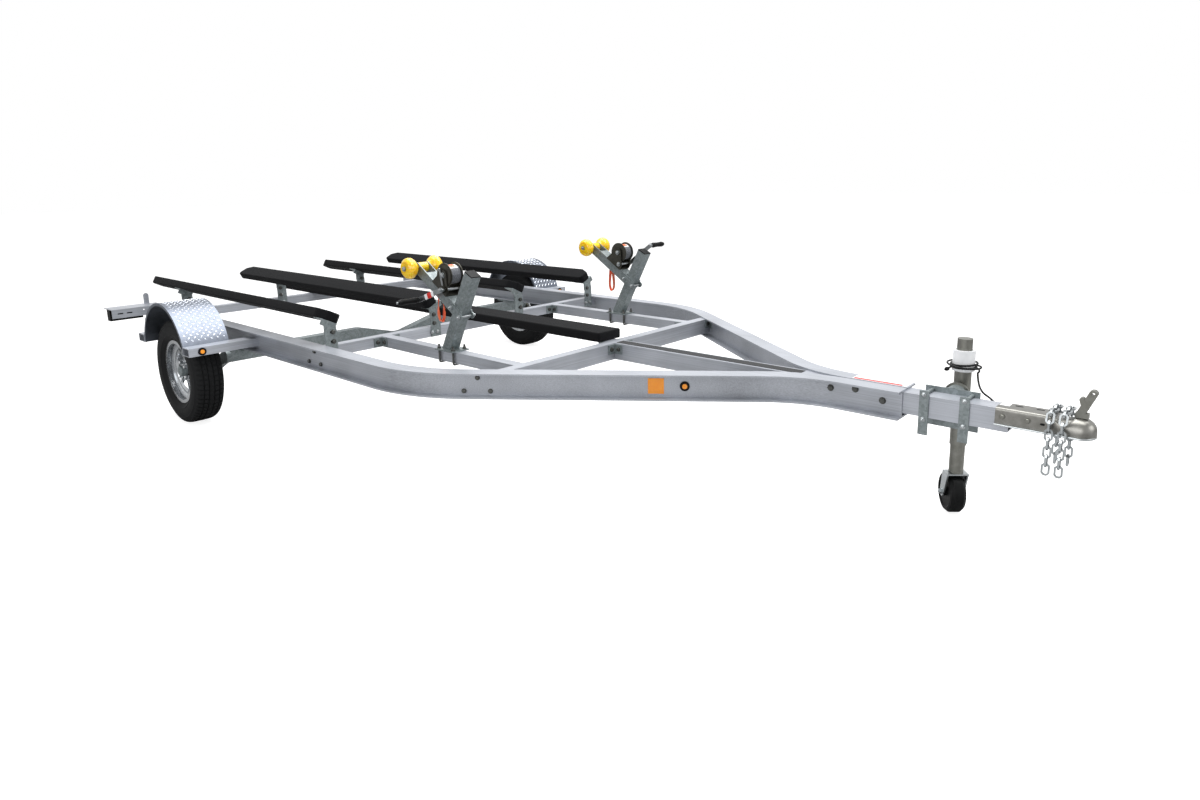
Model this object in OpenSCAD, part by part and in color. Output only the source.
// Two-place personal watercraft trailer with an aluminium I-beam frame, parked on its tongue jack.
// X runs forward to the coupler, Y to the left and Z up. Stations along X are taken from the wheels' axis.

/* [Wheels] */
// Outer radius of the tyres
tyre_r = 272; // [262:1:280]
// Width of the tyres at the sidewalls
tyre_w = 150; // [136:1:160]
// Radius of the rims' bead seats
bead_r = 152; // [140:1:158]
// Height of the rims' lips over the bead seats
rim_lip = 13; // [8:1:18]
// Distance between the two lips of a rim, inside
rim_w = 106; // [96:1:114]
// Sheet thickness of the rims
rim_t = 4; // [3:0.5:6]
// Distance between the centre planes of the tyres
track = 2340; // [2320:1:2380]
// Number of spokes of a rim
spokes = 5; // [4:1:6]
// Width of a spoke
spoke_w = 40; // [30:1:50]
// Radius of the spindles
spindle_r = 16; // [12:1:20]
// Radial clearance of a hub on its spindle
hub_clear = 0.08; // [0.05:0.01:0.1]

/* [Side rails] */
// Height of the I-beam
rail_h = 102; // [95:1:110]
// Width of the I-beam's flanges
flange_w = 76; // [70:1:80]
// Thickness of the I-beam's web
web_t = 6; // [4:0.5:8]
// Thickness of the I-beam's flanges
flange_t = 7; // [5:0.5:9]
// Height of the rails' top over the ground
rail_top = 480; // [470:1:490]
// Distance of a rail's web from the centreline
rail_y = 945; // [930:1:950]
// Station of the rails' rear ends
rail_rear_x = -1200; // [-1230:1:-1195]
// Station of the bend where the rails start to converge
bend_1_x = 1680; // [1650:1:1700]
// Radius of the first bend
bend_1_r = 700; // [500:10:720]
// Station of the bend where the rails meet the tongue
bend_2_x = 2930; // [2900:1:2960]
// Radius of the second bend
bend_2_r = 500; // [300:10:600]
// Station of the rails' front ends
rail_front_x = 3300; // [3200:1:3340]

/* [Tongue and cross members] */
// Width and height of the tongue tube
tongue_w = 76; // [70:1:80]
// Wall of the tongue tube
tongue_t = 5; // [3:0.5:8]
// Station of the tongue's rear end
tongue_rear_x = 1868; // [1850:1:1880]
// Station of the tongue's front end
tongue_front_x = 3640; // [3620:1:3660]
// Width and height of the square cross tubes
tube_w = 51; // [45:1:55]
// Wall of the square cross tubes
tube_t = 4; // [2:0.5:6]
// Station of the front cross member's rear face
front_cross_x = 1915; // [1900:1:1930]
// Station of the middle cross member's rear face
mid_cross_x = 892; // [870:1:900]
// Station of the rear cross member's rear face
rear_cross_x = -800; // [-850:1:-780]
// Length of the anti-slip strip on the tongue
strip_l = 930; // [700:10:930]
// Width of the anti-slip strip
strip_w = 50; // [30:1:60]
// Thickness of the anti-slip strip
strip_t = 1.5; // [1:0.5:3]
// Leg of the corner plates
plate_leg = 46; // [36:1:50]
// Thickness of the corner plates
plate_t = 5; // [3:0.5:7]
// Height of the corner plates
plate_h = 44; // [34:1:50]

/* [Cradles] */
// Distance of a watercraft's centreline from the trailer's
cradle_y = 583; // [575:1:590]
// Distance of a bunk from its watercraft's centreline
bunk_y = 282; // [270:1:283]
// Width of a bunk
bunk_w = 95; // [85:1:105]
// Thickness of a bunk
bunk_t = 45; // [38:1:50]
// Height of the bunks' centres over the ground
bunk_z = 610; // [600:1:620]
// Tilt of the bunks towards their watercraft
bunk_tilt = 27; // [20:1:32]
// Station of the bunks' rear ends
bunk_rear_x = -1240; // [-1260:1:-1235]
// Station of the bunks' front ends
bunk_front_x = 945; // [930:1:960]
// Corner cut at the bunks' ends
bunk_cut = 30; // [10:1:40]
// Width of the walkway plank
plank_w = 150; // [130:1:160]
// Thickness of the walkway plank
plank_t = 45; // [35:1:50]
// Station of the plank's rear end
plank_rear_x = -1190; // [-1220:1:-1150]
// Station of the plank's front end
plank_front_x = 1905; // [1890:1:1912]

/* [Axle] */
// Width and height of the axle tube
axle_w = 60; // [50:1:64]
// Wall of the axle tube
axle_t = 5; // [3:0.5:8]
// Station of the axle tube
axle_x = 135; // [125:1:140]
// Height of the axle tube's centre at the rails
axle_z = 338; // [330:1:340]
// Drop of the axle at the centreline
axle_drop = 70; // [50:1:90]
// Distance from the centreline at which the axle starts to drop
axle_bend_y = 265; // [240:1:300]
// Distance of the axle tube's ends from the centreline
axle_end_y = 1020; // [1015:1:1025]
// Thickness of the torsion arms
arm_t = 24; // [18:1:28]
// Radius of the torsion arms' ends
arm_r = 30; // [26:1:32]

/* [Fenders] */
// Outer radius of the fenders
fender_r = 275; // [270:1:280]
// Height of the fenders' top over the ground
fender_top = 637; // [630:1:645]
// Sheet thickness of the fenders
fender_t = 3; // [2:0.5:5]
// Distance of the fenders' inner edge from the centreline
fender_in_y = 1062; // [1056:1:1066]
// Distance of the fenders' outer edge from the centreline
fender_out_y = 1280; // [1270:1:1290]
// Depth of the rolled lip at the fenders' edges
fender_lip = 14; // [8:1:20]
// Width of the fender tubes along the trailer
fender_tube_w = 76; // [60:1:80]
// Height of the fender tubes
fender_tube_h = 41; // [36:1:44]
// Height of the fender tubes' underside over the ground
fender_tube_z = 405; // [400:1:410]

/* [Rear lights] */
// Height of the light bars
bar_h = 54; // [45:1:60]
// Depth of the light bars' top
bar_d = 145; // [120:1:150]
// Sheet thickness of the light bars
bar_t = 4; // [3:0.5:6]
// Distance of the light bars' tips from the centreline
bar_tip_y = 1202; // [1195:1:1220]
// Station of the light bars' front face
bar_x = -1045; // [-1060:1:-1035]
// Width of a tail lamp
lamp_w = 180; // [150:1:185]
// Height of a tail lamp
lamp_h = 74; // [60:1:80]
// Depth of a tail lamp's housing
lamp_d = 52; // [40:1:60]
// Depth of a tail lamp's lens
lens_d = 14; // [8:1:20]

/* [Winch stands] */
// Width of the posts
post_w = 51; // [45:1:55]
// Wall of the posts
post_t = 4; // [3:0.5:6]
// Forward lean of the posts
post_lean = 28; // [24:1:30]
// Station of the posts' feet
post_x = 1460; // [1440:1:1480]
// Length of the posts
post_l = 392; // [370:1:400]
// Length of the posts' base plates
base_l = 130; // [120:1:140]
// Width of the posts' base plates
base_w = 92; // [84:1:100]
// Thickness of the posts' base plates
base_t = 6; // [4:0.5:8]
// Station of the bow rollers' axis
roller_x = 1280; // [1270:1:1290]
// Height of the bow rollers' axis
roller_z = 835; // [825:1:840]
// Fall of the arms from the roller to the post
arm_fall = 33; // [31:1:35]
// Length of the arms from the roller's axis
arm_l = 356; // [350:1:362]
// Depth of the arms' plates
arm_d = 48; // [42:1:52]
// Thickness of the arms' plates
arm_plate_t = 5; // [4:0.5:6]
// Largest radius of a bow roller
bell_r = 48; // [42:1:52]
// Length of each bell of a bow roller
bell_l = 60; // [50:1:66]
// Radius of the bow rollers' bolts
bolt_r = 6; // [5:0.5:8]
// Radius of the drums' flanges
drum_r = 53; // [48:1:54]
// Inner width of the drums
drum_w = 56; // [50:1:60]
// Radius of the wound strap
strap_r = 42; // [30:1:46]
// Distance of the drum's axis from the roller's, along the arm
drum_s = 185; // [180:1:190]
// Height of the drum's axis over the arm's axis
drum_h = 97; // [96:1:102]
// Distance of the crank's axis from the roller's, along the arm
crank_s = 225; // [223:1:230]
// Height of the crank's axis over the arm's axis
crank_h = 48; // [46:1:50]
// Length of a crank
crank_l = 178; // [160:1:190]
// Length of a crank's grip
grip_l = 105; // [90:1:115]
// Radius of a crank's grip
grip_r = 14; // [11:1:16]
// Direction of the left crank over the horizontal
crank_left_turn = 35; // [25:1:45]
// Direction of the right crank over the horizontal
crank_right_turn = 199; // [192:1:206]

/* [Jack] */
// Station of the jack
jack_x = 3440; // [3430:1:3450]
// Distance of the jack from the centreline
jack_y = 141; // [135:1:150]
// Radius of the jack's outer tube
jack_r = 28.5; // [26:0.5:30]
// Radius of the jack's inner leg
leg_r = 25; // [22:0.5:25.5]
// Height of the outer tube's lower end
jack_low_z = 265; // [250:1:280]
// Height of the outer tube's top
jack_top_z = 612; // [600:1:620]
// Radius of the jack wheel
caster_r = 75; // [70:1:78]
// Width of the jack wheel
caster_w = 56; // [48:1:60]
// Distance of the wheel's axis behind the swivel's
caster_trail = 22; // [15:1:26]
// Turn of the jack wheel about its swivel
caster_turn = 38; // [0:1:90]
// Thickness of the fork
fork_t = 5; // [4:0.5:7]
// Radius of the swivel pin
swivel_r = 12; // [10:0.5:14]

/* [Coupler and chains] */
// Station of the coupler's nose
nose_x = 3880; // [3870:1:3890]
// Station of the coupler's rear end
coupler_x = 3600; // [3590:1:3615]
// Sheet thickness of the coupler
coupler_t = 4; // [3:0.5:5]
// Radius of the coupler's ball socket
socket_r = 26; // [25.5:0.5:27]
// Depth of the coupler's sides
coupler_h = 58; // [50:1:62]
// Width of the coupler's bottom lips
lip_w = 9; // [6:1:12]
// Outer length of a chain link
link_l = 42; // [38:1:46]
// Outer width of a chain link
link_w = 27; // [26:1:29]
// Thickness of a chain link
link_t = 6; // [5:0.5:6.5]
// Height of the chains' lower ends over the ground
chain_low = 296; // [280:1:320]

/* [Wiring lead] */
// Diameter of the wiring lead
lead_d = 7; // [6:0.5:8]

/* [Hidden] */
$fn = 48;

// Gap at rest between a piece and its seat where they don't meet face to face
seat_gap = 0.3;
// Overlap that makes a cut pass clean through a face
cut = 1;

// The origin lies midway between the bunks' rear ends and the coupler's nose
mid_x = (nose_x + bunk_rear_x) / 2;
rail_low = rail_top - rail_h;
// Underside of the top flange, where the tongue and the cross members end
frame_top = rail_top - flange_t;
web_in_y = rail_y - web_t / 2;
web_out_y = rail_y + web_t / 2;
meet_y = tongue_w / 2 + web_t / 2;
taper = atan((rail_y - meet_y) / (bend_2_x - bend_1_x));
tongue_low = frame_top - tongue_w;
wheel_y = track / 2;

// Colours
ALUMINIUM = [0.80, 0.81, 0.83];
ZINC = [0.60, 0.63, 0.66];
CARPET = [0.07, 0.07, 0.08];
RUBBER = [0.06, 0.06, 0.06];
YELLOW = [0.96, 0.80, 0.05];
ORANGE = [1.00, 0.38, 0.10];
AMBER = [0.95, 0.58, 0.08];
RED = [0.55, 0.05, 0.05];

module placed() { translate([-mid_x, 0, 0]) children(); }

// Draws the left side's children, or their mirror image for side -1
module to_side(side) {
    if (side > 0) children();
    else mirror([0, 1, 0]) children();
}

module on_both_sides() { for (side = [1, -1]) to_side(side) children(); }

// A strip of one width along a path P with round bends of the radii R, each drawn in short steps
function heading(a, b) = atan2(b[1] - a[1], b[0] - a[0]);

// Points of the path at corner i, each with the direction that the path has there
bend_steps = 20;
function bend(P, R, i) =
    let (a = heading(P[i - 1], P[i]), turn = heading(P[i], P[i + 1]) - a,
        r = turn > 0 ? R[i] : -R[i], run_in = R[i] * tan(abs(turn) / 2),
        centre = [P[i][0] - run_in * cos(a) - r * sin(a), P[i][1] - run_in * sin(a) + r * cos(a)])
    [for (k = [0 : bend_steps]) let (h = a + turn * k / bend_steps)
        [centre[0] + r * sin(h), centre[1] - r * cos(h), h]];

function route(P, R) = [
    for (i = [0 : len(P) - 1])
        if (i == 0) [P[0][0], P[0][1], heading(P[0], P[1])]
        else if (i == len(P) - 1) [P[i][0], P[i][1], heading(P[i - 1], P[i])]
        else each bend(P, R, i)];

module strip(P, R, w) {
    Q = route(P, R);
    n = len(Q);
    polygon(concat(
        [for (q = Q) [q[0] - w / 2 * sin(q[2]), q[1] + w / 2 * cos(q[2])]],
        [for (i = [1 : n]) let (q = Q[n - i]) [q[0] + w / 2 * sin(q[2]), q[1] - w / 2 * cos(q[2])]]));
}

module square_tube(size, wall, length) {
    linear_extrude(length)
        difference() {
            square(size, center = true);
            square(size - 2 * wall, center = true);
        }
}

// A plate outline with two round ends, from a to b. Its straight sides lie a little inside the rounds
side_share = 0.985;
module link_plate(a, b, r) {
    translate(a) circle(r);
    translate(b) circle(r);
    translate(a) rotate(heading(a, b)) translate([0, -r * side_share])
        square([norm(b - a), 2 * r * side_share]);
}

// Turns a drawing in x and z into a plate that stands across the trailer from y = 0 to y = t
module upright(t) { translate([0, t, 0]) rotate([90, 0, 0]) linear_extrude(t) children(); }

// Turns a drawing in y and z into a plate that stands from x = 0 to x = t
module crosswise(t) { rotate([90, 0, 90]) linear_extrude(t) children(); }

// Side rails
RAIL = [[rail_rear_x, rail_y], [bend_1_x, rail_y], [bend_2_x, meet_y], [rail_front_x, meet_y]];
RAIL_BENDS = [0, bend_1_r, bend_2_r, 0];

module rail(side) {
    color(ALUMINIUM) placed() to_side(side) translate([0, 0, rail_low]) {
        linear_extrude(rail_h) strip(RAIL, RAIL_BENDS, web_t);
        for (z = [0, rail_h - flange_t]) translate([0, 0, z])
            linear_extrude(flange_t) strip(RAIL, RAIL_BENDS, flange_w);
    }
}
module left_rail() rail(1);
module right_rail() rail(-1);

// Height of the web's centre plane over the centreline on the stretch that converges
function taper_y(x) = rail_y - (x - bend_1_x) * tan(taper);

// The plan area outside the inner face of the left rail's web
module beyond_web() {
    translate([bend_1_x, rail_y]) rotate(-taper) translate([-web_t, -web_t / 2])
        square([bend_2_x - bend_1_x, rail_y]);
}

// Tongue and cross members
module tongue() {
    color(ALUMINIUM) placed() translate([tongue_rear_x, 0, frame_top - tongue_w / 2])
        rotate([90, 0, 90]) square_tube(tongue_w, tongue_t, tongue_front_x - tongue_rear_x);
}

module tongue_strip() {
    color(CARPET) placed() translate([front_cross_x + tube_w, -strip_w / 2, frame_top])
        cube([strip_l, strip_w, strip_t]);
}

module half_cross_plan(inset) {
    difference() {
        translate([front_cross_x + inset, tongue_w / 2])
            square([tube_w - 2 * inset, rail_y]);
        beyond_web();
    }
}

module front_cross() {
    color(ALUMINIUM) placed() on_both_sides() difference() {
        translate([0, 0, tongue_low]) linear_extrude(tongue_w) half_cross_plan(0);
        translate([0, 0, tongue_low + tube_t])
            linear_extrude(tongue_w - 2 * tube_t)
                translate([front_cross_x + tube_t, 0]) square([tube_w - 2 * tube_t, rail_y]);
    }
}

module cross_tube(x) {
    color(ALUMINIUM) placed() translate([x + tube_w / 2, web_in_y, frame_top - tube_w / 2])
        rotate([90, 0, 0]) square_tube(tube_w, tube_t, 2 * web_in_y);
}
module middle_cross() cross_tube(mid_cross_x);
module rear_cross() cross_tube(rear_cross_x);

module bearer_tubes() {
    color(ALUMINIUM) placed() on_both_sides()
        translate([mid_cross_x + tube_w, cradle_y, frame_top - tube_w / 2])
            rotate([90, 0, 90]) square_tube(tube_w, tube_t, front_cross_x - mid_cross_x - tube_w);
}

// An angle in plan with its corner at the origin and its legs along dx and dy
module corner_plan(dx, dy) {
    translate([dx > 0 ? 0 : -plate_leg, dy > 0 ? 0 : -plate_t]) square([plate_leg, plate_t]);
    translate([dx > 0 ? 0 : -plate_t, dy > 0 ? 0 : -plate_leg]) square([plate_t, plate_leg]);
}

// Corners that join square: x, y, direction of the leg along x, direction of the leg along y
CORNERS = [
    [mid_cross_x, web_in_y, -1, -1],
    [rear_cross_x, web_in_y, -1, -1],
    [mid_cross_x + tube_w, cradle_y - tube_w / 2, 1, -1],
    [mid_cross_x + tube_w, cradle_y + tube_w / 2, 1, 1],
    [front_cross_x, cradle_y - tube_w / 2, -1, -1],
    [front_cross_x, tongue_w / 2, -1, 1],
    [front_cross_x + tube_w, tongue_w / 2, 1, 1],
];

module corner_plates() {
    color(ZINC) placed() on_both_sides() translate([0, 0, frame_top - plate_h - (tube_w - plate_h) / 2])
        linear_extrude(plate_h) {
            for (c = CORNERS) translate([c[0], c[1]]) corner_plan(c[2], c[3]);
            difference() {
                union() {
                    translate([front_cross_x + tube_w, taper_y(front_cross_x + tube_w) - plate_leg])
                        square([plate_t, plate_leg]);
                    translate([bend_1_x, rail_y]) rotate(-taper)
                        translate([(front_cross_x + tube_w - bend_1_x) / cos(taper), -web_t / 2 - plate_t])
                            square([plate_leg, plate_t]);
                }
                beyond_web();
                translate([front_cross_x, 0]) square([tube_w, rail_y]);
            }
        }
}

module walkway_plank() {
    color(CARPET) placed() translate([plank_rear_x, -plank_w / 2, frame_top])
        cube([plank_front_x - plank_rear_x, plank_w, plank_t]);
}

// Cradles. A bunk's local frame has x along the bunk and its watercraft on the side of +y
module at_bunk(side, inner) {
    to_side(side) translate([0, cradle_y + (inner ? -bunk_y : bunk_y), bunk_z])
        to_side(inner ? 1 : -1) children();
}

module bunk(side, inner) {
    length = bunk_front_x - bunk_rear_x;
    color(CARPET) placed() at_bunk(side, inner) rotate([-bunk_tilt, 0, 0])
        translate([bunk_rear_x, -bunk_w / 2, -bunk_t / 2])
            linear_extrude(bunk_t)
                polygon([[0, bunk_cut], [2 * bunk_cut, 0], [length - 2 * bunk_cut, 0], [length, bunk_cut],
                    [length, bunk_w - bunk_cut / 2], [length - bunk_cut / 2, bunk_w],
                    [bunk_cut / 2, bunk_w], [0, bunk_w - bunk_cut / 2]]);
}
module left_outer_bunk() bunk(1, false);
module left_inner_bunk() bunk(1, true);
module right_inner_bunk() bunk(-1, true);
module right_outer_bunk() bunk(-1, false);

bracket_w = 60;
bracket_t = 5;
// Height of the joint between a bracket's two plates, under the bunk's centre
bracket_joint_z = -72;
// Reach of a bracket's flange along and across its bunk
flange_along = 70;
flange_across = 80;

module bunk_bracket(x) {
    low_z = frame_top - tube_w - bunk_z;
    // Middle of the bunk's underside
    under_y = -bunk_t / 2 * sin(bunk_tilt);
    under_z = -bunk_t / 2 * cos(bunk_tilt);
    translate([x + tube_w, under_y, 0]) {
        crosswise(bracket_t) difference() {
            union() {
                translate([-bracket_w / 2, low_z]) square([bracket_w, bracket_joint_z - low_z]);
                translate([0, bracket_joint_z]) circle(bracket_w / 2);
            }
            for (z = [low_z + tube_w + bracket_w / 3, bracket_joint_z])
                translate([0, z]) circle(bolt_r);
        }
        translate([-bracket_t, 0, 0]) crosswise(bracket_t) difference() {
            union() {
                translate([0, bracket_joint_z]) circle(bracket_w / 2);
                translate([-bracket_w / 2, bracket_joint_z]) square([bracket_w, -bracket_joint_z]);
                translate([0, under_z]) rotate(-bunk_tilt)
                    translate([-flange_across / 2, -bracket_w / 2]) square([flange_across, bracket_w / 2]);
            }
            translate([0, under_z]) rotate(-bunk_tilt)
                translate([-bunk_w, 0]) square([2 * bunk_w, bunk_w]);
            translate([0, bracket_joint_z]) circle(bolt_r);
        }
    }
    translate([x + tube_w - bracket_t - flange_along, under_y, under_z]) rotate([-bunk_tilt, 0, 0])
        translate([0, -flange_across / 2, -bracket_t]) cube([flange_along, flange_across, bracket_t]);
}

module bunk_brackets(side) {
    color(ZINC) placed() for (inner = [true, false], x = [mid_cross_x, rear_cross_x])
        at_bunk(side, inner) bunk_bracket(x);
}
module left_bunk_brackets() bunk_brackets(1);
module right_bunk_brackets() bunk_brackets(-1);

// Axle, with the two seats that carry the rails
seat_l = 220;
axle_bend_r = 150;
seat_t = rail_low - axle_z - axle_w / 2;

// Path of the axle tube in y and z
AXLE = [[-axle_end_y, axle_z], [-axle_bend_y, axle_z], [0, axle_z - axle_drop], [axle_bend_y, axle_z],
    [axle_end_y, axle_z]];
AXLE_BENDS = [0, axle_bend_r, axle_bend_r, axle_bend_r, 0];

module axle() {
    color(ZINC) placed() {
        difference() {
            translate([axle_x - axle_w / 2, 0, 0]) crosswise(axle_w) strip(AXLE, AXLE_BENDS, axle_w);
            translate([axle_x - axle_w / 2 + axle_t, 0, 0])
                crosswise(axle_w - 2 * axle_t) strip(AXLE, AXLE_BENDS, axle_w - 2 * axle_t);
        }
        on_both_sides() translate([axle_x - seat_l / 2, rail_y - flange_w / 2, rail_low - seat_t])
            cube([seat_l, flange_w, seat_t]);
    }
}

module torsion_arms() {
    color(ZINC) placed() on_both_sides() translate([0, axle_end_y, 0]) {
        upright(arm_t) {
            link_plate([axle_x, axle_z], [0, tyre_r], arm_r);
            translate([axle_x, axle_z]) circle(arm_r + 6);
        }
        translate([0, arm_t, tyre_r]) rotate([-90, 0, 0])
            cylinder(r = spindle_r, h = spindle_end - axle_end_y - arm_t);
    }
}

// Wheels. Their local z runs outward from the tyre's centre plane
disc_z = 10;
disc_t = 6;
hub_flange_t = 10;
hub_flange_r = 58;
hub_barrel_r = 36;
hub_nose_r = 26;
hub_nose_l = 36;
stud_circle_r = 46;
// Distance between the torsion arm and the hub
hub_gap = 12;
hub_end_z = disc_z + hub_nose_l;
hub_back_z = axle_end_y + arm_t + hub_gap - wheel_y;
spindle_end = wheel_y + disc_z + hub_nose_l / 2;

module at_wheel(side) {
    placed() to_side(side) translate([0, wheel_y, tyre_r]) rotate([-90, 0, 0]) children();
}

module hub(side) {
    color(ZINC) at_wheel(side) rotate_extrude()
        polygon([[spindle_r + hub_clear, hub_back_z], [hub_barrel_r, hub_back_z],
            [hub_barrel_r, disc_z - hub_flange_t], [hub_flange_r, disc_z - hub_flange_t],
            [hub_flange_r, disc_z], [hub_nose_r, disc_z], [hub_nose_r, hub_end_z - 8],
            [hub_nose_r - 8, hub_end_z], [0, hub_end_z], [0, hub_end_z - 6],
            [spindle_r + hub_clear, hub_end_z - 6]]);
}
module left_hub() hub(1);
module right_hub() hub(-1);

// Half of a rim's section: radius and distance from the centre plane, outside and then inside
well_r = bead_r - 24;
seat_z = rim_w / 2;
RIM_HALF = [[well_r, 0], [well_r, 18], [bead_r, 30], [bead_r, seat_z], [bead_r + rim_lip, seat_z],
    [bead_r + rim_lip, seat_z + rim_t], [bead_r - rim_t, seat_z + rim_t], [bead_r - rim_t, 30 + rim_t / 2],
    [well_r - rim_t, 18 + rim_t / 2], [well_r - rim_t, 0]];

module rim(side) {
    ring_r = well_r - rim_t;
    color(ZINC) at_wheel(side) {
        rotate_extrude(convexity = 6) for (s = [1, -1])
            polygon([for (p = RIM_HALF) [p[0], s * p[1]]]);
        translate([0, 0, disc_z]) linear_extrude(disc_t) difference() {
            union() {
                circle(hub_flange_r + 4);
                for (i = [0 : spokes - 1]) rotate(i * 360 / spokes)
                    translate([0, -spoke_w / 2]) square([ring_r - 6, spoke_w]);
                difference() {
                    circle(ring_r);
                    circle(ring_r - 14);
                }
            }
            circle(hub_nose_r + 1);
        }
    }
}
module left_rim() rim(1);
module right_rim() rim(-1);

// Half of a tyre's section: radius and distance from the centre plane
bead_w = seat_z - seat_gap;
shoulder = tyre_w / 2;
TYRE_HALF = [[bead_r + seat_gap, 0], [bead_r + seat_gap, bead_w], [bead_r + rim_lip + 1, bead_w],
    [bead_r + rim_lip + 6, bead_w + 6],
    [bead_r + (tyre_r - bead_r) * 0.32, shoulder - 3], [bead_r + (tyre_r - bead_r) * 0.52, shoulder],
    [bead_r + (tyre_r - bead_r) * 0.72, shoulder - 4], [tyre_r - 14, shoulder - 12],
    [tyre_r - 4, shoulder - 26], [tyre_r, shoulder - 45], [tyre_r, 0]];

module tyre(side) {
    color(RUBBER) at_wheel(side) rotate_extrude()
        polygon(concat(TYRE_HALF, [for (i = [len(TYRE_HALF) - 2 : -1 : 1]) [TYRE_HALF[i][0], -TYRE_HALF[i][1]]]));
}
module left_tyre() tyre(1);
module right_tyre() tyre(-1);

// Fenders, each an arch whose straight feet lie against its two tubes
tube_top = fender_tube_z + fender_tube_h;
arch_z = fender_top - fender_r;
foot_x = sqrt(fender_r * fender_r - (tube_top - arch_z) * (tube_top - arch_z));

module arch_plan(inset) {
    r = fender_r - inset;
    intersection() {
        translate([0, arch_z]) circle(r, $fn = 96);
        translate([-foot_x + inset, tube_top]) square([2 * (foot_x - inset), fender_r]);
    }
    translate([-foot_x + inset, fender_tube_z - cut]) square([2 * (foot_x - inset), fender_tube_h + 2 * cut]);
}

module arch(inset, depth) {
    intersection() {
        difference() {
            arch_plan(inset);
            arch_plan(inset + depth);
        }
        translate([-2 * fender_r, fender_tube_z]) square([4 * fender_r, 2 * fender_r]);
    }
}

module fender(side) {
    color(ALUMINIUM) placed() to_side(side) {
        translate([0, fender_in_y, 0]) upright(fender_out_y - fender_in_y) arch(0, fender_t);
        for (y = [fender_in_y, fender_out_y - fender_t])
            translate([0, y, 0]) upright(fender_t) arch(0, fender_lip);
    }
}
module left_fender() fender(1);
module right_fender() fender(-1);

module fender_tubes() {
    color(ALUMINIUM) placed() on_both_sides() for (x = [foot_x, -foot_x - fender_tube_w])
        translate([x, web_out_y, fender_tube_z])
            upright(fender_out_y + fender_t - web_out_y) difference() {
                square([fender_tube_w, fender_tube_h]);
                translate([tube_t, tube_t]) square([fender_tube_w - 2 * tube_t, fender_tube_h - 2 * tube_t]);
            }
}

// Rear lights
bar_top = rail_top + bar_t;
flange_out_y = rail_y + flange_w / 2;

module light_bars() {
    color(ALUMINIUM) placed() on_both_sides() {
        translate([bar_x - bar_t, 0, 0]) crosswise(bar_t) difference() {
            translate([web_out_y, bar_top - bar_h]) square([bar_tip_y - web_out_y, bar_h]);
            translate([web_out_y - cut, frame_top]) square([flange_w / 2 - web_t / 2 + cut + seat_gap, bar_h]);
            for (y = [bar_tip_y - 45, bar_tip_y - 95])
                translate([y, bar_top - bar_h / 2]) link_plate([-12, 0], [12, 0], 4);
            translate([bar_tip_y - 175, bar_top - bar_h / 3]) circle(4);
        }
        translate([bar_x - bar_d, flange_out_y + seat_gap, rail_top])
            cube([bar_d, bar_tip_y - flange_out_y - seat_gap, bar_t]);
        translate([bar_x, web_out_y, bar_top - bar_h]) cube([plate_leg, bar_t, bar_h - 2 * flange_t]);
        translate([bar_x - bar_t, web_out_y, bar_top - bar_h]) cube([bar_t + cut, bar_t, bar_h - 2 * flange_t]);
        translate([rail_rear_x, rail_y, rail_top]) crosswise(bar_t) {
            square([30, 52]);
            translate([15, 52]) circle(15);
        }
    }
}

lamp_x = bar_x - bar_d;
lamp_y = bar_tip_y - 10 - lamp_w;

module tail_lamps() {
    color(RUBBER) placed() on_both_sides() translate([lamp_x + lens_d, lamp_y, rail_top - lamp_h])
        cube([lamp_d, lamp_w, lamp_h]);
}

module tail_lenses() {
    color(RED) placed() on_both_sides() translate([lamp_x, lamp_y + 4, rail_top - lamp_h + 4])
        cube([lens_d, lamp_w - 8, lamp_h - 8]);
}

// Winch stands. The post's local z runs up the post from the middle of its base plate
module at_post() { translate([post_x, cradle_y, frame_top + base_t]) rotate([0, post_lean, 0]) children(); }

module winch_posts() {
    color(ZINC) placed() on_both_sides() {
        translate([post_x - base_l / 2 + 8, cradle_y - base_w / 2, frame_top]) cube([base_l, base_w, base_t]);
        intersection() {
            at_post() translate([0, 0, -post_w]) square_tube(post_w, post_t, post_l + post_w);
            translate([post_x - post_l, 0, frame_top + base_t]) cube([2 * post_l, 2 * cradle_y, 2 * post_l]);
        }
    }
}

cap_t = 5;
module post_caps() {
    color(RUBBER) placed() on_both_sides() at_post() translate([-post_w / 2, -post_w / 2, post_l])
        cube([post_w, post_w, cap_t]);
}

// The arm's local x falls from the roller to the post, and its local z points away from the ground
module on_arm() { translate([roller_x, cradle_y, roller_z]) rotate([0, arm_fall, 0]) children(); }

arm_web = [70, 290];
module winch_arms() {
    color(ZINC) placed() on_both_sides() on_arm() {
        for (y = [post_w / 2, -post_w / 2 - arm_plate_t]) translate([0, y, 0]) upright(arm_plate_t)
            difference() {
                union() {
                    circle(arm_d / 2);
                    translate([0, -arm_d / 2]) square([arm_l, arm_d]);
                }
                circle(bolt_r);
            }
        translate([arm_web[0], -post_w / 2, arm_d / 2 - arm_plate_t])
            cube([arm_web[1] - arm_web[0], post_w, arm_plate_t]);
    }
}

plate_out_y = post_w / 2 + arm_plate_t;
// Gap between a bell of the roller and the arm's plate
bell_gap = 1.5;
bolt_end = plate_out_y + bell_gap + bell_l + 3;

module roller_bolts() {
    color(ZINC) placed() on_both_sides() translate([roller_x, cradle_y, roller_z]) rotate([90, 0, 0]) {
        cylinder(r = bolt_r, h = 2 * bolt_end, center = true);
        for (z = [-bolt_end - 6, bolt_end]) translate([0, 0, z]) cylinder(r = 10, h = 6, $fn = 6);
    }
}

// Section of a bell: share of the length from the arm outward, share of the largest radius
BELL = [[0, 0.46], [0.12, 0.58], [0.28, 0.82], [0.48, 0.98], [0.66, 1.0], [0.84, 0.93], [0.96, 0.76], [1, 0.66]];
bolt_clear = 0.1;

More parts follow.
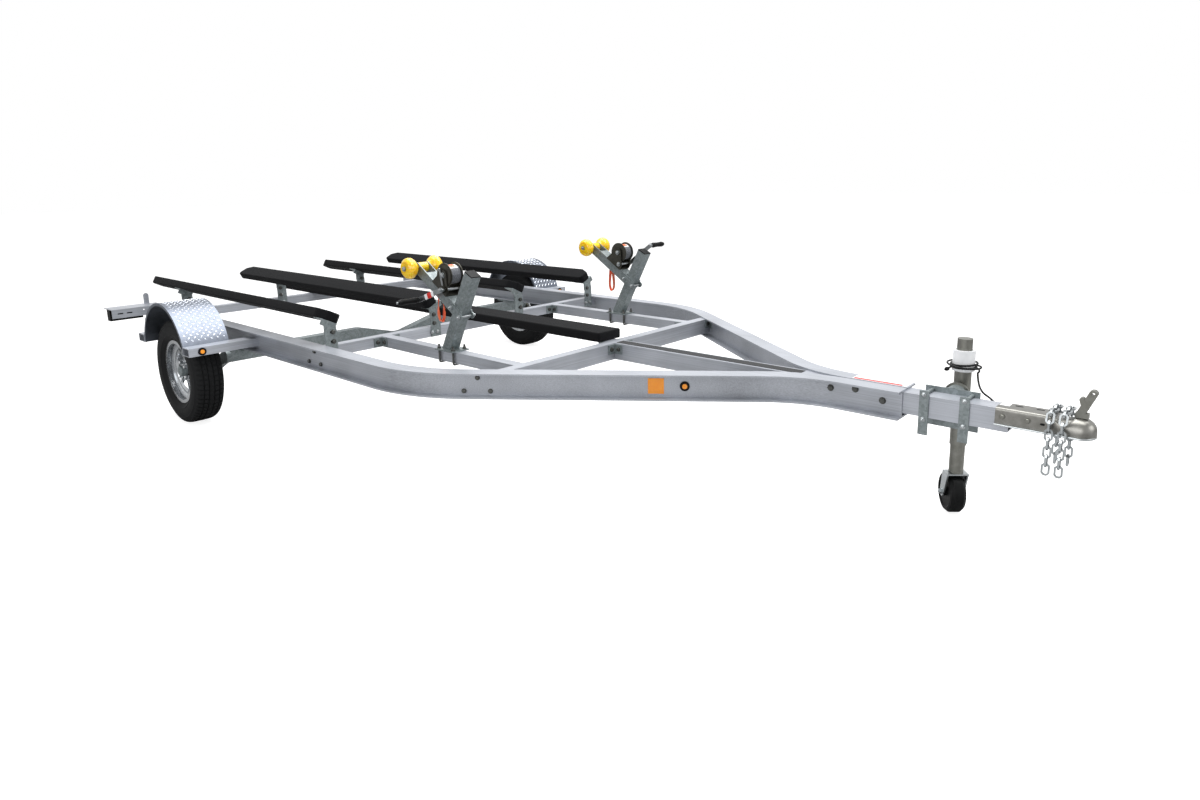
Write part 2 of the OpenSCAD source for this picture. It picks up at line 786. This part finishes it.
module roller(side) {
    color(YELLOW) placed() to_side(side) translate([roller_x, cradle_y, roller_z]) {
        for (s = [1, -1]) rotate([-90 * s, 0, 0]) translate([0, 0, plate_out_y + bell_gap]) rotate_extrude()
            polygon(concat([[bolt_r + bolt_clear, 0]], [for (p = BELL) [p[1] * bell_r, p[0] * bell_l]],
                [[bolt_r + bolt_clear, bell_l]]));
        rotate([90, 0, 0]) difference() {
            cylinder(r = bell_r * 0.46, h = post_w - 2 * bell_gap, center = true);
            cylinder(r = bolt_r + bolt_clear, h = post_w, center = true);
        }
    }
}
module left_roller() roller(1);
module right_roller() roller(-1);

cheek_t = 4;
cheek_y = drum_w / 2 + 8;
frame_base_t = 4;
shaft_r = 7;
crank_y = cheek_y + cheek_t + 16;

module winch_frames() {
    base_h = arm_d / 2;
    color(ZINC) placed() on_both_sides() on_arm() {
        translate([drum_s - 50, -cheek_y - cheek_t, base_h]) cube([110, 2 * (cheek_y + cheek_t), frame_base_t]);
        for (y = [cheek_y, -cheek_y - cheek_t]) translate([0, y, 0]) upright(cheek_t) difference() {
            union() {
                translate([drum_s, drum_h]) circle(24);
                translate([crank_s, crank_h]) circle(20);
                polygon([[drum_s - 50, base_h + frame_base_t], [drum_s + 60, base_h + frame_base_t],
                    [crank_s + 20, crank_h], [drum_s + 20, drum_h + 12], [drum_s - 20, drum_h + 12]]);
            }
            translate([drum_s, drum_h]) circle(shaft_r);
            translate([crank_s, crank_h]) circle(shaft_r);
        }
    }
}

module winch_drums() {
    color(ZINC) placed() on_both_sides() on_arm() translate([drum_s, 0, drum_h]) rotate([90, 0, 0]) {
        cylinder(r = shaft_r, h = 2 * (cheek_y + cheek_t + 3), center = true);
        for (z = [-drum_w / 2 - 3, drum_w / 2]) translate([0, 0, z]) cylinder(r = drum_r, h = 3);
    }
}

module wound_straps() {
    color(CARPET) placed() on_both_sides() on_arm() translate([drum_s, 0, drum_h]) rotate([90, 0, 0])
        difference() {
            cylinder(r = strap_r, h = drum_w, center = true);
            cylinder(r = shaft_r, h = drum_w + cut, center = true);
        }
}

module at_crank(side) {
    to_side(side) on_arm() translate([crank_s, 0, crank_h])
        rotate([0, -arm_fall - (side > 0 ? crank_left_turn : crank_right_turn), 0]) children();
}

module winch_cranks() {
    color(ZINC) placed() for (side = [1, -1]) at_crank(side) {
        translate([0, crank_y, 0]) rotate([90, 0, 0])
            cylinder(r = shaft_r, h = crank_y + cheek_y + cheek_t + 3);
        translate([0, crank_y, 0]) upright(5) link_plate([0, 0], [crank_l, 0], 11);
        translate([crank_l, crank_y + 5, 0]) rotate([-90, 0, 0]) cylinder(r = 5, h = grip_l + 10);
    }
}

module crank_grips() {
    color(RUBBER) placed() for (side = [1, -1]) at_crank(side)
        translate([crank_l, crank_y + 8, 0]) rotate([-90, 0, 0]) rotate_extrude()
            polygon([[5, 0], [grip_r - 3, 0], [grip_r, grip_l * 0.15], [grip_r - 2, grip_l * 0.5],
                [grip_r, grip_l * 0.85], [grip_r - 4, grip_l], [5, grip_l]]);
}

loop_s = 150;
loop_l = 150;
loop_r = 15;
loop_w = 24;
loop_t = 3;
module strap_loops() {
    color(ORANGE) placed() on_both_sides() on_arm()
        translate([loop_s, -loop_w / 2, arm_d / 2 - arm_plate_t - loop_r - seat_gap])
            rotate([0, -arm_fall, 0]) upright(loop_w) difference() {
                link_plate([0, 0], [0, -loop_l], loop_r);
                link_plate([0, 0], [0, -loop_l], loop_r - loop_t);
            }
}

// Jack on the left of the tongue
bracket_l = 180;
bracket_high = rail_top + 12;
strap_low = 335;
strap_plate_w = 32;
boss_r = 36;
// Sides of the swivel joint: bracket plate, boss and the jack's own flange
swivel_y = tongue_w / 2 + 48;

module jack_bracket() {
    color(ZINC) placed() translate([jack_x, 0, 0]) {
        translate([-bracket_l / 2, tongue_w / 2, tongue_low - 45]) cube([bracket_l, 6, bracket_high - tongue_low + 45]);
        translate([0, tongue_w / 2, axis_z]) rotate([-90, 0, 0]) cylinder(r = boss_r, h = swivel_y - tongue_w / 2);
        for (x = [-bracket_l / 2 + 24, bracket_l / 2 - 24]) {
            translate([x - strap_plate_w / 2, -tongue_w / 2 - 6, strap_low])
                cube([strap_plate_w, 6, bracket_high - strap_low]);
            for (z = [frame_top + bolt_r, tongue_low - bolt_r])
                translate([x, -tongue_w / 2 - 6, z]) rotate([-90, 0, 0]) cylinder(r = bolt_r, h = tongue_w + 12);
        }
    }
}
axis_z = 460;

module at_jack() { placed() translate([jack_x, jack_y, 0]) children(); }

module jack_tube() {
    color(ZINC) at_jack() difference() {
        union() {
            translate([0, 0, jack_low_z]) cylinder(r = jack_r, h = jack_top_z - jack_low_z);
            translate([0, swivel_y - jack_y, axis_z]) rotate([-90, 0, 0]) cylinder(r = boss_r + 8, h = 8);
            translate([-20, swivel_y - jack_y, axis_z - 30]) cube([40, jack_y - swivel_y, 60]);
            translate([0, 0, jack_top_z]) cylinder(r = jack_r - 3, h = 40);
        }
        translate([0, 0, jack_low_z - cut]) cylinder(r = leg_r + seat_gap, h = 200);
    }
}

sleeve_r = 37;
sleeve_h = 74;
module jack_sleeve() {
    color("white") at_jack() translate([0, 0, jack_top_z - sleeve_h]) difference() {
        cylinder(r = sleeve_r, h = sleeve_h);
        translate([0, 0, -cut]) cylinder(r = jack_r, h = sleeve_h + 2 * cut);
    }
}

fork_top = 2 * caster_r + 8;
module jack_leg() {
    color(ZINC) at_jack() difference() {
        translate([0, 0, fork_top + 1]) cylinder(r = leg_r, h = jack_low_z + 150 - fork_top);
        translate([0, 0, fork_top]) cylinder(r = swivel_r + 0.1, h = 40);
    }
}

// The caster's local x runs along the wheel's axle
module at_caster() { at_jack() rotate([0, 0, caster_turn]) children(); }

fork_in = caster_w / 2 + 5;
module caster_fork() {
    color(ZINC) at_caster() {
        translate([-fork_in - fork_t, -leg_r, fork_top - fork_t]) cube([2 * (fork_in + fork_t), 2 * leg_r, fork_t]);
        for (x = [-fork_in - fork_t, fork_in]) translate([x, 0, 0]) crosswise(fork_t)
            polygon([[-leg_r, fork_top], [leg_r, fork_top], [caster_trail + 16, caster_r - 8],
                [caster_trail + 8, caster_r - 16], [caster_trail - 8, caster_r - 16], [caster_trail - 16, caster_r - 8]]);
        translate([-fork_in - fork_t - 6, caster_trail, caster_r]) rotate([0, 90, 0])
            cylinder(r = bolt_r, h = 2 * (fork_in + fork_t + 6));
        translate([0, 0, fork_top]) cylinder(r = swivel_r, h = 36);
    }
}

module caster_wheel() {
    color(RUBBER) at_caster() translate([0, caster_trail, caster_r]) rotate([0, 90, 0]) rotate_extrude()
        polygon([[bolt_r + 0.1, -fork_in + 1], [16, -fork_in + 1], [16, -caster_w / 2 + 4],
            [caster_r - 22, -caster_w / 2 + 4], [caster_r - 16, -caster_w / 2], [caster_r - 8, -caster_w / 2 + 2],
            [caster_r, -caster_w / 2 + 12], [caster_r, caster_w / 2 - 12], [caster_r - 8, caster_w / 2 - 2],
            [caster_r - 16, caster_w / 2], [caster_r - 22, caster_w / 2 - 4], [16, caster_w / 2 - 4],
            [16, fork_in - 1], [bolt_r + 0.1, fork_in - 1]]);
}

// Coupler
coupler_in = tongue_w / 2 + seat_gap;
coupler_out = coupler_in + coupler_t;
coupler_top = frame_top + coupler_t;
coupler_low = coupler_top - coupler_h;
ball_x = nose_x - 44;
dome_r = 40;

module coupler_plan(grow) {
    translate([coupler_x, -coupler_out - grow]) square([150, 2 * (coupler_out + grow)]);
    polygon([[coupler_x + 150, -coupler_out - grow], [ball_x, -dome_r + 6 - grow], [ball_x, dome_r - 6 + grow],
        [coupler_x + 150, coupler_out + grow]]);
    translate([ball_x, 0]) circle(dome_r - 5 + grow);
}

module coupler() {
    color(ZINC) placed() difference() {
        union() {
            translate([0, 0, coupler_low]) linear_extrude(coupler_h) coupler_plan(0);
            translate([0, 0, coupler_low]) linear_extrude(coupler_t) coupler_plan(lip_w);
        }
        translate([coupler_x - cut, -coupler_in, coupler_low - cut])
            cube([tongue_front_x - coupler_x + cut + 2, 2 * coupler_in, frame_top - coupler_low + cut]);
        translate([tongue_front_x, -coupler_in + 6, coupler_low - cut])
            cube([ball_x - tongue_front_x - dome_r - 8, 2 * coupler_in - 12, coupler_h - 14]);
        translate([ball_x, 0, coupler_low - cut]) cylinder(r = socket_r, h = 34 + cut);
    }
}

latch_w = 22;
module coupler_latch() {
    color(ZINC) placed() translate([ball_x, -latch_w / 2, coupler_top]) upright(latch_w) difference() {
        union() {
            link_plate([-4, 14], [24, 80], 12);
            translate([-18, 0]) square([36, 16]);
            link_plate([2, 38], [-4, 58], 7);
        }
        translate([24, 80]) circle(5);
    }
}

// Safety chains of eight-sided links. Each hangs in a plane across the trailer, over the coupler
link_eye = link_w / 2 - link_t;
link_slack = 0.9;
link_pitch = link_l - link_w + link_eye * (2 * cos(22.5) + sin(22.5)) - link_t / 2 - link_slack;
chain_top = coupler_top + link_w / 2 + seat_gap;
chain_side = coupler_out + lip_w + link_w / 2 + seat_gap;
chain_bend = 18;
chain_leg = chain_top - chain_bend - chain_low;
chain_arc = 90 * PI / 180 * chain_bend;
chain_run = 2 * (chain_leg + chain_arc + chain_side - chain_bend);

// Point in y and z at the distance s from the right end of a chain
function chain_at(s) =
    s > chain_run / 2 ? let (p = chain_at(chain_run - s)) [-p[0], p[1]]
    : s < chain_leg ? [-chain_side, chain_low + s]
    : s > chain_leg + chain_arc ? [-chain_side + chain_bend + s - chain_leg - chain_arc, chain_top]
    : let (a = (s - chain_leg) / chain_arc * 90)
        [-chain_side + chain_bend * (1 - cos(a)), chain_top - chain_bend * (1 - sin(a))];

module link_outline(r) {
    reach = (link_l - link_w) / 2;
    polygon([for (a = [22.5 : 45 : 360]) [r * cos(a) + (cos(a) > 0 ? reach : -reach), r * sin(a)]]);
}

module link() {
    translate([0, 0, -link_t / 2]) linear_extrude(link_t) difference() {
        link_outline(link_w / 2);
        link_outline(link_eye);
    }
}

module safety_chains() {
    links = floor(chain_run / link_pitch);
    start = (chain_run - links * link_pitch) / 2;
    color(ZINC) placed() for (x = [ball_x - 74, ball_x - 38], k = [0 : links - 1]) {
        a = chain_at(start + k * link_pitch);
        b = chain_at(start + (k + 1) * link_pitch);
        translate([x, (a[0] + b[0]) / 2, (a[1] + b[1]) / 2]) rotate([heading(a, b), 0, 0])
            rotate([0, 0, 90]) rotate([k % 2 * 90, 0, 0]) link();
    }
}

// Markers on the front fender tubes and on the rails
marker_r = 19;
marker_t = 5;
marker_lens_r = 10;
fender_marker_y = 1222;
rail_marker_x = 2560;
reflector_x = 2470;
reflector_w = 62;
reflector_h = 62;
reflector_t = 2;
marker_z = fender_tube_z + fender_tube_h / 2;
rail_marker_z = rail_low + rail_h / 2;

// Places a drawing with local z outward on the outer face of the left rail's converging web
module on_web(x, z) {
    translate([x, taper_y(x), z]) rotate([0, 0, -taper]) translate([0, web_t / 2, 0])
        rotate([-90, 0, 0]) children();
}

module at_markers() {
    on_both_sides() {
        translate([foot_x + fender_tube_w, fender_marker_y, marker_z]) rotate([0, 90, 0]) children();
        on_web(rail_marker_x, rail_marker_z) children();
    }
}

module marker_bezels() {
    color(RUBBER) placed() at_markers() difference() {
        cylinder(r = marker_r, h = marker_t);
        translate([0, 0, 1]) cylinder(r = marker_lens_r, h = marker_t);
    }
}

module marker_lenses() {
    color(AMBER) placed() at_markers() translate([0, 0, 1]) cylinder(r = marker_lens_r, h = marker_t + 1);
}

module reflectors() {
    color(AMBER) placed() on_both_sides() on_web(reflector_x, rail_marker_z)
        translate([-reflector_w / 2, -reflector_h / 2, 0]) cube([reflector_w, reflector_h, reflector_t]);
}

// Wiring lead, wound round the jack and led down behind the tongue
coil_in = sleeve_r + seat_gap;
coil_w = 3.5 * lead_d;
coil_h = 4.5 * lead_d;
coil_z = jack_top_z - sleeve_h + 2;

module lead_coil() {
    color(CARPET) at_jack() translate([0, 0, coil_z]) rotate_extrude()
        translate([coil_in, 0]) square([coil_w, coil_h]);
}

// Route from the coil's underside down to the tongue's far side, measured from the jack's axis
LEAD = [[52, -10, 538], [54, -16, 528], [58, -24, 518], [64, -34, 506], [72, -46, 496], [82, -58, 488],
    [94, -68, 482], [108, -76, 477], [122, -83, 470], [134, -88, 460], [142, -92, 448], [146, -95, 436]];

function ring(P, i) =
    let (a = P[max(0, i - 1)], b = P[min(len(P) - 1, i + 1)], t = (b - a) / norm(b - a),
        u = cross(t, [0.3, 0.5, 0.8]), v = u / norm(u), w = cross(t, v))
    [for (k = [0 : 7]) P[i] + lead_d / 2 * (cos(k * 45) * v + sin(k * 45) * w)];

module swept(P) {
    n = len(P);
    polyhedron(
        points = [for (i = [0 : n - 1]) for (p = ring(P, i)) p],
        faces = concat([[for (k = [7 : -1 : 0]) k]],
            [for (i = [0 : n - 2], k = [0 : 7])
                [i * 8 + k, i * 8 + (k + 1) % 8, (i + 1) * 8 + (k + 1) % 8, (i + 1) * 8 + k]],
            [[for (k = [0 : 7]) (n - 1) * 8 + k]]));
}

module lead_tube() { color(CARPET) at_jack() swept(LEAD); }

module lead_plug() {
    color(CARPET) at_jack() translate([-coil_in - coil_w, -12, coil_z - 12 - seat_gap]) cube([14, 34, 12]);
}

left_rail();
right_rail();
tongue();
tongue_strip();
front_cross();
middle_cross();
rear_cross();
bearer_tubes();
corner_plates();
walkway_plank();
left_outer_bunk();
left_inner_bunk();
right_inner_bunk();
right_outer_bunk();
left_bunk_brackets();
right_bunk_brackets();
axle();
torsion_arms();
left_hub();
right_hub();
left_rim();
right_rim();
left_tyre();
right_tyre();
left_fender();
right_fender();
fender_tubes();
light_bars();
tail_lamps();
tail_lenses();
winch_posts();
post_caps();
winch_arms();
roller_bolts();
left_roller();
right_roller();
winch_frames();
winch_drums();
wound_straps();
winch_cranks();
crank_grips();
strap_loops();
jack_bracket();
jack_tube();
jack_sleeve();
jack_leg();
caster_fork();
caster_wheel();
coupler();
coupler_latch();
safety_chains();
marker_bezels();
marker_lenses();
reflectors();
lead_coil();
lead_tube();
lead_plug();
